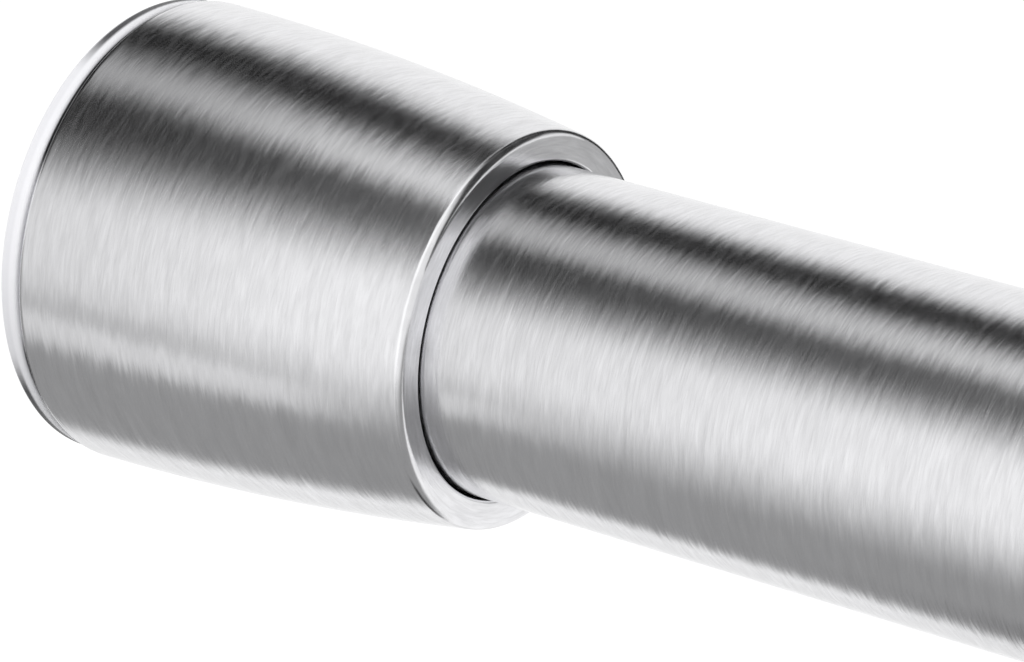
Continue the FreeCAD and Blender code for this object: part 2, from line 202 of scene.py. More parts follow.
# %% Outlines with rounded corners
def rounded(corners, steps=8):
    """A closed outline from (along, radius, rounding) corners, in millimetres. Each corner with a rounding
    becomes an arc that is tangent to both its sides."""
    points = []
    for i, (x, r, rounding) in enumerate(corners):
        here = Vector((x, r))
        if rounding == 0:
            points.append(here)
            continue
        back = (Vector(corners[i - 1][:2]) - here).normalized()
        ahead = (Vector(corners[(i + 1) % len(corners)][:2]) - here).normalized()
        half = back.angle(ahead) / 2
        middle = here + (back + ahead).normalized() * (rounding / math.sin(half))
        first = here + back * (rounding / math.tan(half)) - middle
        last = here + ahead * (rounding / math.tan(half)) - middle
        turn = first.angle(last)
        for step in range(steps + 1):
            share = step / steps
            arm = first * math.sin((1 - share) * turn) + last * math.sin(share * turn)
            points.append(middle + arm / math.sin(turn))
    return points


support_reach = 0.12


def supported(points):
    """An outline with a point close to each end of its long straight sides, so that the smooth shading of
    a rounded edge doesn't run over the whole side."""
    kept = []
    for here, there in zip(points, points[1:] + points[:1]):
        kept.append(here)
        side = Vector(there) - Vector(here)
        if side.length > 4 * support_reach:
            kept.append(Vector(here) + side.normalized() * support_reach)
            kept.append(Vector(there) - side.normalized() * support_reach)
    return kept


def turned(name, points, finish):
    """A piece turned about the rod's axis from (along, radius) points in millimetres."""
    points = supported(points)
    area = sum(a[0] * b[1] - b[0] * a[1] for a, b in zip(points, points[1:] + points[:1]))
    if area > 0:
        points = points[::-1]
    mesh = bpy.data.meshes.new(name + "_outline")
    corners = [(r * MM - path_radius, x * MM, 0) for x, r in points]
    mesh.from_pydata(corners, [(i, (i + 1) % len(corners)) for i in range(len(corners))], [])
    return made_by(lathe, name, mesh, Steps=lathe_steps, Finish=finish)


# %% [markdown]
# ## Values in a node tree
# A finish is worked out from values: numbers, vectors and the outputs of nodes. One helper feeds a value to
# a node's input, whichever kind it is. The others take values and give a new one, so that a finish reads
# as a few sums and not as many links.

# %% Helpers for values
def feed(tree, value, target, entry):
    """Give a node's input a value: a link if it is a node's output, and else the value itself."""
    if isinstance(value, bpy.types.NodeSocket):
        tree.links.new(value, target.inputs[entry])
    else:
        target.inputs[entry].default_value = value


def maths(tree, operation, first, second=0.0):
    """What a Math node makes of two values."""
    node = add(tree, "ShaderNodeMath", {"operation": operation})
    feed(tree, first, node, 0)
    feed(tree, second, node, 1)
    return node.outputs[0]


def measured(tree, operation, vector, other=(0, 0, 0)):
    """The number that a Vector Math node makes of a vector, or of two."""
    node = add(tree, "ShaderNodeVectorMath", {"operation": operation})
    feed(tree, vector, node, 0)
    feed(tree, other, node, 1)
    return node.outputs["Value"]


def ranged(tree, value, low, high, start=0.0, end=1.0):
    """A value between start and end, moved to the range from low to high."""
    span = add(tree, "ShaderNodeMapRange", From_Min=start, From_Max=end, To_Min=low, To_Max=high)
    feed(tree, value, span, "Value")
    return span.outputs["Result"]


def smooth_step(tree, value, low, high, least=0.0):
    """A smooth step of a value, from least at low to 1 at high."""
    smooth = {"interpolation_type": "SMOOTHSTEP"}
    span = add(tree, "ShaderNodeMapRange", smooth, From_Min=low, From_Max=high, To_Min=least)
    feed(tree, value, span, "Value")
    return span.outputs["Result"]


# %% [markdown]
# ## What the finishes share
# A finish is a material with one shader. Its tone moves between a darker and a lighter one, and its bump
# is a height that the light sees but the outline doesn't, which is enough for marks far finer than the
# piece.

# %% Parts of a finish
def new_finish(name):
    """A material, its tree and its shader node."""
    finish = bpy.data.materials.new(name)
    finish.use_nodes = True
    return finish, finish.node_tree, finish.node_tree.nodes["Principled BSDF"]


def tones(tree, value, colour, low, high):
    """A colour times low where a value is 0, and times high where it is 1."""
    mix = add(tree, "ShaderNodeMix", {"data_type": "RGBA"})
    feed(tree, value, mix, "Factor")
    feed(tree, (*[c * low for c in colour], 1), mix, "A")
    feed(tree, (*[min(1.0, c * high) for c in colour], 1), mix, "B")
    return mix.outputs["Result"]


def covered(tree, colour, tone, share):
    """A colour with that share of it covered by another tone."""
    mix = add(tree, "ShaderNodeMix", {"data_type": "RGBA"})
    feed(tree, share, mix, "Factor")
    feed(tree, colour, mix, "A")
    feed(tree, (*tone, 1), mix, "B")
    return mix.outputs["Result"]


def bumped(tree, value, shader, strength, depth, normal=None):
    """Let a value raise the shader's surface by up to depth, in millimetres, over its own normal or over
    one that is given."""
    bump = add(tree, "ShaderNodeBump", Strength=strength, Distance=depth * MM)
    feed(tree, value, bump, "Height")
    if normal is not None:
        feed(tree, normal, bump, "Normal")
    join(tree, bump, "Normal", shader, "Normal")


# %% [markdown]
# ## Mottle and streaks
# The marks come from a noise that is fixed to the piece, so each stays where it is from every side. A
# picture wrapped round the piece could do the same, but it would show a seam. Mottle is an even noise.
# Streaks are fine along the rod and drawn out round it, as a belt or a lathe leaves them. On the flat
# front of a cover the scratches are circles, so their fine direction is the sum of the place along the
# rod and the distance from its axis.

# %% Noises for the marks
def mottle(tree, size, detail, roughness=0.5):
    """An even noise of that size, in millimetres."""
    place = add(tree, "ShaderNodeTexCoord")
    noise = add(tree, "ShaderNodeTexNoise", Scale=1 / (size * MM), Detail=detail, Roughness=roughness)
    join(tree, place, "Object", noise, "Vector")
    return noise.outputs["Fac"]


def rod_place(tree):
    """A point's place on the rod, as its three parts, and its way out from the axis."""
    place = add(tree, "ShaderNodeTexCoord")
    parts = add(tree, "ShaderNodeSeparateXYZ")
    out = add(tree, "ShaderNodeCombineXYZ")
    join(tree, place, "Object", parts, "Vector")
    join(tree, parts, "Y", out, "Y")
    join(tree, parts, "Z", out, "Z")
    return parts.outputs, out.outputs["Vector"]


def streaks(tree, across, around, detail=2.0):
    """A noise that is as fine as across, along the rod, and as long as around, round it, in millimetres."""
    parts, out = rod_place(tree)
    place = add(tree, "ShaderNodeCombineXYZ")
    feed(tree, maths(tree, "ADD", parts["X"], measured(tree, "LENGTH", out)), place, "X")
    feed(tree, parts["Y"], place, "Y")
    feed(tree, parts["Z"], place, "Z")
    fineness = (1 / (across * MM), 1 / (around * MM), 1 / (around * MM))
    stretch = add(tree, "ShaderNodeMapping", Scale=fineness)
    noise = add(tree, "ShaderNodeTexNoise", Scale=1.0, Detail=detail, Roughness=0.55, Distortion=0.35)
    join(tree, place, "Vector", stretch, "Vector")
    join(tree, stretch, "Vector", noise, "Vector")
    return noise.outputs["Fac"]


# %% [markdown]
# ## Painted shade in the gaps, faint on the lit side
# Hardly any light gets into the narrow gap between a pad and its cover, so both sides of the gap are
# painted dark: painted shade. It is faint on the side of the rod that faces the light. Both follow from a
# point's own place: its distance from the nearer wall, and how far its way out from the axis faces the lit
# side, which is 1 straight at it and 0 square to it. So they too stay on the piece from every side.

# %% Places beside the wall
# The lit side of the painted gap shade, and how far a point must face it for the shade to fade.
gap_lit_angle = math.radians(170)
gap_lit_facing = (0.95, 0.88)


def wall_distance(tree, parts):
    """How far a place is from the nearer wall."""
    return maths(tree, "PINGPONG", parts["X"], rod_length * MM / 2)


def unlit_share(tree, out, lit_angle, lit_facing, least=0.0):
    """How much painted shade is left: least where a point faces the lit angle by the first facing number or
    more, and all of it by the second or less. The angle is from +Y over +Z."""
    unit = add(tree, "ShaderNodeVectorMath", {"operation": "NORMALIZE"})
    feed(tree, out, unit, 0)
    front = (0, math.cos(lit_angle), math.sin(lit_angle))
    facing = measured(tree, "DOT_PRODUCT", unit.outputs["Vector"], front)
    return smooth_step(tree, facing, *lit_facing, least)


# %% [markdown]
# ## Brushed steel
# The tubes and the covers were turned against an abrasive belt, so their scratches run round the rod.
# Light spreads across scratches and hardly along them: it is smeared along the rod and stays sharp round
# it, and the studio shows as long bands. Four things give this look: a shader whose roughness is larger
# along the rod, streaks in its tone and gloss, a slight bump from them, and a normal that leans a little
# round the rod from streak to streak. The finest scratches also scatter a little light any way, which
# shows them in the dark bands: the finish is a touch less metallic there. A cover's edge is painted dark
# in the gap towards the pad: painted shade, faint on the lit side.

# %% A normal that leans
def leaning(tree, value, lean):
    """The way round the rod, and a normal that leans back or that way by up to about lean radians, as a
    value goes from 0 to 1."""
    round_rod = add(tree, "ShaderNodeTangent", {"direction_type": "RADIAL", "axis": "X"})
    surface = add(tree, "ShaderNodeNewGeometry")
    aside = add(tree, "ShaderNodeVectorMath", {"operation": "SCALE"})
    leant = add(tree, "ShaderNodeVectorMath", {"operation": "ADD"})
    unit = add(tree, "ShaderNodeVectorMath", {"operation": "NORMALIZE"})
    join(tree, round_rod, "Tangent", aside, 0)
    feed(tree, ranged(tree, value, -lean, lean), aside, "Scale")
    join(tree, surface, "Normal", leant, 0)
    join(tree, aside, "Vector", leant, 1)
    join(tree, leant, "Vector", unit, 0)
    return round_rod.outputs["Tangent"], unit.outputs["Vector"]


# %% Brushed steel as nodes
scratch_width = 0.26
scratch_length = 2.3
scratch_depth = 0.018
scratch_lean = 0.046
broad_share = 0.35
steel_colour = (0.775, 0.775, 0.7905)
steel_contrast = 0.25
steel_rough = (0.12, 0.24)
steel_shine = (0.87, 1.09)
# The colour of the painted shade on a cover's edge in the gap, and where it fades in.
gap_shade_tone = (0.02, 0.02, 0.02)
cover_gap_shade_fade = (2.45 * MM, 2.1 * MM)


def brushed_steel(name, gap_shade_fade=None):
    """Steel with fine scratches round the rod. A gap fade, as two distances from the wall, is where the
    painted shade of the gap begins and from where on it is whole."""
    finish, tree, shader = new_finish(name)
    hair = streaks(tree, scratch_width, scratch_length)
    broad = streaks(tree, scratch_width * 3.0, scratch_length * 2.0, detail=1.0)
    ragged = streaks(tree, scratch_width * 1.3, scratch_length * 1.2, detail=1.5)
    both = add(tree, "ShaderNodeMix", {"data_type": "FLOAT"}, Factor=broad_share)
    feed(tree, hair, both, "A")
    feed(tree, broad, both, "B")
    marks = both.outputs["Result"]
    colour = tones(tree, marks, steel_colour, 1 - steel_contrast, 1 + steel_contrast)
    # Painted shade: the cover's edge beside the pad is painted near black, faint on the lit side.
    if gap_shade_fade:
        parts, out = rod_place(tree)
        inside = smooth_step(tree, wall_distance(tree, parts), *gap_shade_fade)
        share = maths(tree, "MULTIPLY", inside, unlit_share(tree, out, gap_lit_angle, gap_lit_facing))
        colour = covered(tree, colour, gap_shade_tone, share)
    round_rod, leant = leaning(tree, ragged, scratch_lean)
    bumped(tree, marks, shader, 1.0, scratch_depth, leant)
    feed(tree, colour, shader, "Base Color")
    feed(tree, ranged(tree, marks, *steel_rough), shader, "Roughness")
    feed(tree, ranged(tree, hair, *steel_shine), shader, "Metallic")
    feed(tree, round_rod, shader, "Tangent")
    feed(tree, 0.6, shader, "Anisotropic")
    feed(tree, 0.25, shader, "Anisotropic Rotation")
    return finish


tube_finish = brushed_steel("brushed_tube_steel")
cover_finish = brushed_steel("brushed_cover_steel", cover_gap_shade_fade)
print("brushed cover steel has", len(cover_finish.node_tree.nodes), "nodes")

# %% [markdown]
# ## Rubber and moulded plastics
# The pads are a soft pale rubber that lets a little light in at its edges, so they get some subsurface
# light. Their rim is painted dark in the gap beside the cover, and in a band near the wall: painted shade,
# faint on the side that faces the light. The plastics inside the rod are moulded: their surface is even,
# with a faint grain from the tool and a slight change of tone where the material is thick or thin. One
# function makes them all, and each finish differs in its colour, its gloss and its grain.

# %% Rubber and plastics as nodes
cloud_per_grain = 25
grain_gloss = 0.08
grain_bump = 0.6
# Where the painted shade on a pad's rim lies, and the lit side where it is faint.
rim_lit_angle = math.radians(157.5)
rim_lit_facing = (0.8, 0.62)
rim_shade_left = 0.1
rim_shade_band_start = (0.1 * MM, 0.4 * MM)
rim_shade_band_end = (1.05 * MM, 0.7 * MM)
rim_gap_shade_start = (1.53 * MM, 1.59 * MM)
rim_inner_side = (16.5 * MM, 16.9 * MM)


def rim_shade_share(tree):
    """How much painted shade a wall pad's rim shows, in the band near the wall and in the gap. Both are
    faint on the side that faces the light, the gap's shade wholly and the band's in part."""
    parts, out = rod_place(tree)
    from_wall = wall_distance(tree, parts)
    band_start = smooth_step(tree, from_wall, *rim_shade_band_start)
    band_end = smooth_step(tree, from_wall, *rim_shade_band_end)
    band = maths(tree, "MULTIPLY", band_start, band_end)
    band = maths(tree, "MULTIPLY", band, unlit_share(tree, out, rim_lit_angle, rim_lit_facing, rim_shade_left))
    gap = smooth_step(tree, from_wall, *rim_gap_shade_start)
    gap = maths(tree, "MULTIPLY", gap, unlit_share(tree, out, gap_lit_angle, gap_lit_facing))
    on_rim = smooth_step(tree, measured(tree, "LENGTH", out), *rim_inner_side)
    return maths(tree, "MULTIPLY", maths(tree, "MAXIMUM", band, gap), on_rim)


def moulded(name, colour, gloss, grain, bump_depth, cloudy=0.04, inside=0.0, edge=None):
    """A moulded finish. Grain and bump depth are in millimetres, gloss is the roughness in the middle of
    its range, inside is how far light spreads in it, and edge is the colour of painted shade on a pad's
    rim."""
    finish, tree, shader = new_finish(name)
    fine = mottle(tree, grain, 3.0, 0.6)
    tone = tones(tree, mottle(tree, grain * cloud_per_grain, 2.0), colour, 1 - cloudy, 1 + cloudy)
    # Painted shade: the edge tone darkens a pad's rim near the wall and in the gap.
    if edge:
        tone = covered(tree, tone, edge, rim_shade_share(tree))
    bumped(tree, fine, shader, grain_bump, bump_depth)
    feed(tree, tone, shader, "Base Color")
    feed(tree, ranged(tree, fine, gloss - grain_gloss, gloss + grain_gloss), shader, "Roughness")
    if inside:
        feed(tree, 0.35, shader, "Subsurface Weight")
        feed(tree, (1.0, 1.0, 1.0), shader, "Subsurface Radius")
        feed(tree, inside * MM, shader, "Subsurface Scale")
    return finish


# The pad's edge tone is the colour of the painted shade on its rim.
pad_finish = moulded(
    "pad_rubber", (0.88, 0.88, 0.91), 0.42, 0.25, 0.01, inside=1.0, edge=(0.09, 0.09, 0.095)
)
plug_finish = moulded("plug_plastic", (0.78, 0.78, 0.79), 0.45, 0.2, 0.012)
collar_finish = moulded("collar_plastic", (0.68, 0.68, 0.69), 0.38, 0.2, 0.01)
lock_finish = moulded("lock_plastic", (0.14, 0.14, 0.15), 0.4, 0.25, 0.01, cloudy=0.1)
ring_finish = moulded("ring_rubber", (0.03, 0.03, 0.032), 0.6, 0.15, 0.015, cloudy=0.15)
print("pad rubber has", len(pad_finish.node_tree.nodes), "nodes")

# %% [markdown]
# ## Drawn wire, turned rod and stamped washers
# The steel inside is plainer: bright drawn wire for the spring, a zinc-plated rod, and stamped washers.
# Their marks are fine lines round the axis for what was turned or drawn, and a soft mottle from the
# plating, and that mottle is what tells zinc from bare steel.

# %% Plain steels as nodes
plating_size = 2.0
plating_tones = (0.88, 1.08)
plating_gloss = 0.07
line_bump = 0.7
line_stretch = 30


def plated(name, tone, gloss, line, depth):
    """Plated steel with a mottle and fine lines. Line and depth are in millimetres."""
    finish, tree, shader = new_finish(name)
    marks = mottle(tree, plating_size, 4.0, 0.7)
    bumped(tree, streaks(tree, line, line * line_stretch), shader, line_bump, depth)
    feed(tree, tones(tree, marks, tone, *plating_tones), shader, "Base Color")
    feed(tree, ranged(tree, marks, gloss - plating_gloss, gloss + plating_gloss), shader, "Roughness")
    feed(tree, 1.0, shader, "Metallic")
    return finish


rod_finish = plated("zinc_rod", (0.62, 0.62, 0.60), 0.30, 0.12, 0.004)
wire_finish = plated("spring_wire", (0.46, 0.46, 0.47), 0.24, 0.3, 0.003)
washer_finish = plated("stamped_washer", (0.66, 0.66, 0.65), 0.33, 0.5, 0.003)
print("zinc rod has", len(rod_finish.node_tree.nodes), "nodes")

# %% [markdown]
# ## The bell covers
# Each cover is drawn from steel sheet: its side is one long shallow arc, steepest at the front, and the
# front is turned in to a hole just wider than the tube. The round between side and front is what catches
# the bright line in the picture. The same outline serves both ends: the far one has a smaller hole and is
# turned round.

# %% Turn the covers
cover_start, cover_front = (corner.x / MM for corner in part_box("outer_end_cover"))
tube_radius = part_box("outer_tube")[1].z / MM
small_tube_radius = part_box("inner_tube")[1].z / MM
cover_sheet = 0.8
cover_hole_gap = 0.2
cover_front_land = 2.3
cover_flare = 2.8
cover_front_round = 0.7
cover_hole_round = 0.25
cover_rear_round = 0.75
side_points = 24
cover_front_radius = tube_radius + cover_hole_gap + cover_front_land
cover_rear_radius = cover_front_radius + cover_flare
cover_bulge_radius = (cover_front**2 + cover_flare**2) / (2 * cover_flare)


def cover_radius(x, inset=0.0):
    """The cover's radius at x, or that of its inner face when inset by the sheet."""
    bulge = cover_bulge_radius - inset
    return cover_rear_radius - cover_bulge_radius + math.sqrt(bulge**2 - x**2)


def turned_round(points):
    """An outline of the near wall end turned to face the far wall."""
    return [(rod_length - x, r) for x, r in points]


def cover_outline(hole):
    """The section of a cover whose hole has this radius."""
    inner_front = cover_front - cover_sheet
    share = [i / side_points for i in range(1, side_points)]
    side = [cover_start + s * (cover_front - cover_start) for s in share]
    inside = [inner_front + s * (cover_start - inner_front) for s in share]
    corners = [(cover_start, cover_radius(cover_start), cover_rear_round)]
    corners += [(x, cover_radius(x), 0) for x in side]
    corners += [(cover_front, cover_radius(cover_front), cover_front_round)]
    corners += [(cover_front, hole, cover_hole_round), (inner_front, hole, 0)]
    corners += [(inner_front, cover_radius(inner_front, cover_sheet), 0)]
    corners += [(x, cover_radius(x, cover_sheet), 0) for x in inside]
    corners += [(cover_start, cover_radius(cover_start, cover_sheet), 0)]
    return rounded(corners)


near_cover = turned("near_cover", cover_outline(tube_radius + cover_hole_gap), cover_finish)
far_outline = turned_round(cover_outline(small_tube_radius + cover_hole_gap))
far_cover = turned("far_cover", far_outline, cover_finish)

# %% [markdown]
# ## The two tubes
# The tubes are plain but for a shallow bead rolled into each end that holds a moulding, and a small round
# on each cut edge. Only the larger tube's mouth and the long sides show. A bead's hollow is an arc, worked
# out from its depth and its width.

# %% Turn the tubes
tube_wall = 0.7
bead_depth = 0.45
bead_half_width = 1.6
bead_from_end = 6.0
bead_steps = 8
tube_edge_round = 0.15
plug_spigot_length = 18.0


def bead(middle, radius, way):
    """Points of a rolled bead in a tube's face, in the order that way, +1 or -1, gives."""
    hollow = (bead_half_width**2 + bead_depth**2) / (2 * bead_depth)
    points = []
    for step in range(bead_steps + 1):
        aside = way * bead_half_width * (2 * step / bead_steps - 1)
        rise = hollow - math.sqrt(hollow**2 - aside**2)
        points.append((middle + aside, radius - bead_depth + rise, 0))
    return points


def tube_outline(start, end, radius, beads):
    """The section of a tube with its beads, the nearest to the start first."""
    bore = radius - tube_wall
    corners = [(start, radius, tube_edge_round)]
    for middle in beads:
        corners += bead(middle, radius, 1)
    corners += [(end, radius, tube_edge_round), (end, bore, tube_edge_round)]
    for middle in reversed(beads):
        corners += bead(middle, bore, -1)
    corners.append((start, bore, tube_edge_round))
    return rounded(corners, steps=4)


tube_start, tube_mouth = (corner.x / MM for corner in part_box("outer_tube"))
small_start, small_end = (corner.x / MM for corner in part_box("inner_tube"))
plug_bead = tube_start + plug_spigot_length - bead_from_end
larger_outline = tube_outline(tube_start, tube_mouth, tube_radius, [plug_bead])
smaller_outline = tube_outline(
    small_start, small_end, small_tube_radius, [small_start + bead_from_end, rod_length - plug_bead]
)
larger_tube = turned("larger_tube", larger_outline, tube_finish)
smaller_tube = turned("smaller_tube", smaller_outline, tube_finish)

# %% [markdown]
# ## The wall pads
# A pad is one soft moulding: a rim that shows as a pale line behind the cover, four ribs that bite on the
# wall, and a barbed stem that holds it to the plug. Rounded edges keep it from looking like a cut disc.

# %% Turn the pads
pad_rim = 1.6
pad_rim_inset = 0.3
pad_rim_round = 0.35
pad_core = 2.6
pad_core_gap = 0.02
pad_rib_pitch = 3.0
pad_rib_width = 1.2
pad_rib_depth = 0.6
pad_rib_round = 0.15
pad_rib_count = 4
pad_stem_radius = 3.0
pad_barb_radius = 4.0
pad_barb_length = 3.0
pad_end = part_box("outer_wall_pad")[1].x / MM


def pad_outline():
    """The section of a pad, from its axis out over the wall face and back along the stem."""
    rim = cover_rear_radius - pad_rim_inset
    core = cover_radius(cover_start, cover_sheet) - pad_core_gap
    corners = [(0, 0, 0)]
    for i in reversed(range(pad_rib_count)):
        groove_out = rim - pad_rib_width - pad_rib_pitch * i
        groove_in = groove_out - pad_rib_pitch + pad_rib_width
        corners += [(0, groove_in, pad_rib_round), (pad_rib_depth, groove_in, pad_rib_round)]
        corners += [(pad_rib_depth, groove_out, pad_rib_round), (0, groove_out, pad_rib_round)]
    corners += [(0, rim, pad_rim_round), (pad_rim, rim, pad_rim_round)]
    corners += [(pad_rim, core, 0), (pad_core, core, 0), (pad_core, pad_stem_radius, 0)]
    corners += [(pad_end - pad_barb_length, pad_stem_radius, 0)]
    corners += [(pad_end - pad_barb_length, pad_barb_radius, 0), (pad_end, pad_stem_radius / 2, 0)]
    corners.append((pad_end, 0, 0))
    return rounded(corners, steps=5)


near_pad = turned("near_pad", pad_outline(), pad_finish)
far_pad = turned("far_pad", turned_round(pad_outline()), pad_finish)

# %% [markdown]
# ## The collar in the larger tube's mouth
# The collar is a moulded bush: its lip covers the tube's cut edge, and four slots let its hidden end flex
# as it is pressed in. It is turned like the rest. Slots aren't round, so a Boolean modifier cuts them
# afterwards with a star of bars.

# %% Turn the collar and cut its slots
collar_lip_round = 0.5
collar_gap = 0.05
collar_slot_width = 1.6
collar_slot_length = 12.0
collar_slot_count = 4
cutter_spare = 1.0
collar_start, collar_end = (corner.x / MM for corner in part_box("tube_collar"))


def slot_cutter(start, end, width, reach, count):
    """A star of bars across the axis, in millimetres, that cuts evenly spaced slots."""
    mesh = bpy.data.meshes.new("slot_cutter")
    outline = ((cutter_spare, -1), (reach, -1), (reach, 1), (cutter_spare, 1))
    corners = []
    faces = []
    for i in range(count):
        turn = 2 * math.pi * i / count
        out = Vector((0, math.cos(turn), math.sin(turn)))
        side = Vector((0, -math.sin(turn), math.cos(turn))) * (width / 2)
        low = len(corners)
        for x in (start, end):
            corners += [Vector((x, 0, 0)) + out * away + side * way for away, way in outline]
        ring = [[low + k, low + (k + 1) % 4, low + 4 + (k + 1) % 4, low + 4 + k] for k in range(4)]
        faces += ring + [[low + 3, low + 2, low + 1, low], [low + 4, low + 5, low + 6, low + 7]]
    mesh.from_pydata([corner * MM for corner in corners], [], faces)
    return placed("slot_cutter", mesh)


def cut_by(piece, cutter):
    """The piece with the cutter's shape taken out. The cutter is removed."""
    modifier = piece.modifiers.new("cut", "BOOLEAN")
    modifier.object = cutter
    modifier.solver = "EXACT"
    seen = bpy.context.evaluated_depsgraph_get()
    mesh = bpy.data.meshes.new_from_object(piece.evaluated_get(seen))
    piece.modifiers.remove(modifier)
    piece.data = mesh
    bpy.data.objects.remove(cutter)
    mesh.set_sharp_from_angle(angle=smooth_below)
    print(piece.name, "has", len(mesh.polygons), "faces after its cut")


collar_bore = small_tube_radius + collar_gap
collar_outline = rounded([
    (collar_start, collar_bore, 0),
    (collar_start, tube_radius - tube_wall, 0),
    (tube_mouth, tube_radius - tube_wall, 0),
    (tube_mouth, tube_radius, 0),
    (collar_end, tube_radius, collar_lip_round),
    (collar_end, collar_bore, 0),
])
mouth_collar = turned("mouth_collar", collar_outline, collar_finish)
collar_slots = slot_cutter(
    collar_start - cutter_spare,
    collar_start + collar_slot_length,
    collar_slot_width,
    tube_radius + cutter_spare,
    collar_slot_count,
)
cut_by(mouth_collar, collar_slots)

# %% [markdown]
# ## The spring
# A coil spring follows a rule: the wire goes round at one radius while it rises, slowly in the closed turn
# at each end and fast between them. A Screw modifier winds at one even rise only, so a tree does it: it
# makes a line of points, gives each its turn and its height, and carries a round section along it. The
# ends are ground flat, so whatever would stand past the spring's faces is pressed back to them.

# %% The spring tree
spring_steps = 48
wire_steps = 14
closed_turn_gap = 0.02 * MM


def spring_tree():
    """A tree that winds a spring with closed and ground ends about the rod's axis. All sizes in metres."""
    sizes = ("Start", "End", "Coil Radius", "Wire Radius", "Grind", "Active Turns", "Closed Turns")
    inputs = [("Base", "Geometry")]
    inputs += [(name, "Float") for name in sizes]
    inputs += [("Steps", "Int"), ("Finish", "Material")]
    tree, start, end = shape_tree("Coil spring", inputs, "Spring")
    given = start.outputs

    def work(operation, first, second=0.0):
        """What a Math node of this tree makes of two values."""
        return maths(tree, operation, first, second)

    wire = given["Wire Radius"]
    closed = given["Closed Turns"]
    turns = work("ADD", given["Active Turns"], work("MULTIPLY", closed, 2))
    line = add(tree, "GeometryNodeMeshLine")
    feed(tree, work("ADD", work("MULTIPLY", turns, given["Steps"]), 1), line, "Count")
    turn = work("DIVIDE", add(tree, "GeometryNodeInputIndex").outputs[0], given["Steps"])
    angle = work("MULTIPLY", turn, 2 * math.pi)
    inset = work("SUBTRACT", wire, given["Grind"])
    low = work("ADD", given["Start"], inset)
    high = work("SUBTRACT", given["End"], inset)
    lead = work("ADD", work("MULTIPLY", wire, 2), closed_turn_gap)
    first = work("ADD", low, work("MULTIPLY", work("MINIMUM", turn, closed), lead))
    past = work("MAXIMUM", work("SUBTRACT", turn, work("SUBTRACT", turns, closed)), 0)
    closed_rise = work("MULTIPLY", work("MULTIPLY", closed, lead), 2)
    active = work("SUBTRACT", work("SUBTRACT", high, low), closed_rise)
    share = work("DIVIDE", work("SUBTRACT", turn, closed), given["Active Turns"])
    share = work("MINIMUM", work("MAXIMUM", share, 0), 1)
    risen = work("ADD", first, work("MULTIPLY", share, active))
    place = add(tree, "ShaderNodeCombineXYZ")
    feed(tree, work("ADD", risen, work("MULTIPLY", past, lead)), place, "X")
    for axis, kind in (("Y", "COSINE"), ("Z", "SINE")):
        feed(tree, work("MULTIPLY", work(kind, angle), given["Coil Radius"]), place, axis)
    wind = add(tree, "GeometryNodeSetPosition")
    join(tree, line, "Mesh", wind, "Geometry")
    join(tree, place, "Vector", wind, "Position")
    curve = add(tree, "GeometryNodeMeshToCurve")
    join(tree, wind, "Geometry", curve, "Mesh")
    section = add(tree, "GeometryNodeCurvePrimitiveCircle", {"mode": "RADIUS"}, Resolution=wire_steps)
    feed(tree, wire, section, "Radius")
    sweep = add(tree, "GeometryNodeCurveToMesh", Fill_Caps=True)
    join(tree, curve, "Curve", sweep, "Curve")
    join(tree, section, "Curve", sweep, "Profile Curve")
    here = add(tree, "GeometryNodeInputPosition")
    parts = add(tree, "ShaderNodeSeparateXYZ")
    join(tree, here, "Position", parts, "Vector")
    pressed = add(tree, "ShaderNodeCombineXYZ")
    past_start = work("MAXIMUM", parts.outputs["X"], given["Start"])
    feed(tree, work("MINIMUM", past_start, given["End"]), pressed, "X")
    join(tree, parts, "Y", pressed, "Y")
    join(tree, parts, "Z", pressed, "Z")
    grind = add(tree, "GeometryNodeSetPosition")
    join(tree, sweep, "Mesh", grind, "Geometry")
    join(tree, pressed, "Vector", grind, "Position")
    paint_and_end(tree, start, grind, end)
    return tree


spring_start, spring_end = (corner.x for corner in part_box("tension_spring"))
spring_wire_radius = 0.8 * MM
spring_coil_radius = 8.5 * MM
spring_grind = 0.35 * MM
spring_active_turns = 5.0
spring_closed_turns = 1.0
coil_spring = made_by(
    spring_tree(),
    "coil_spring",
    bpy.data.meshes.new("spring_base"),
    Start=spring_start,
    End=spring_end,
    Coil_Radius=spring_coil_radius,
    Wire_Radius=spring_wire_radius,
    Grind=spring_grind,
    Active_Turns=spring_active_turns,
    Closed_Turns=spring_closed_turns,
    Steps=spring_steps,
    Finish=wire_finish,
)

# %% [markdown]
# ## Finishes for the pieces that keep their frame shape
# The mouldings, washers and fasteners inside the rod already have their true shape, so each only gets its
# finish in the material slots of its own object.

# %% Give the frame's own pieces their finishes
seats_and_washers = ("thrust_washer", "front_spring_seat", "rear_spring_seat", "rod_stop_washer")
kept_finishes = [
    (plug_finish, ("outer_end_plug", "inner_end_plug")),
    (lock_finish, ("lock_expander", "lock_cone", "rod_guide")),
    (ring_finish, ("front_grip_ring", "rear_grip_ring")),
    (rod_finish, ("push_rod", "rod_stop_nut")),
    (washer_finish, ("cone_stop_clip", *seats_and_washers)),
]
for finish, names in kept_finishes:
    for name in names:
        nodes[name].data.materials.clear()
        nodes[name].data.materials.append(finish)
    print(finish.name, "goes on", ", ".join(names))

# %% [markdown]
# ## What each new piece rides on
# Each turned piece moves with the body of the frame piece that it stands for and takes over that piece's
# place, and the frame piece is hidden. The spring rides with the push rod.

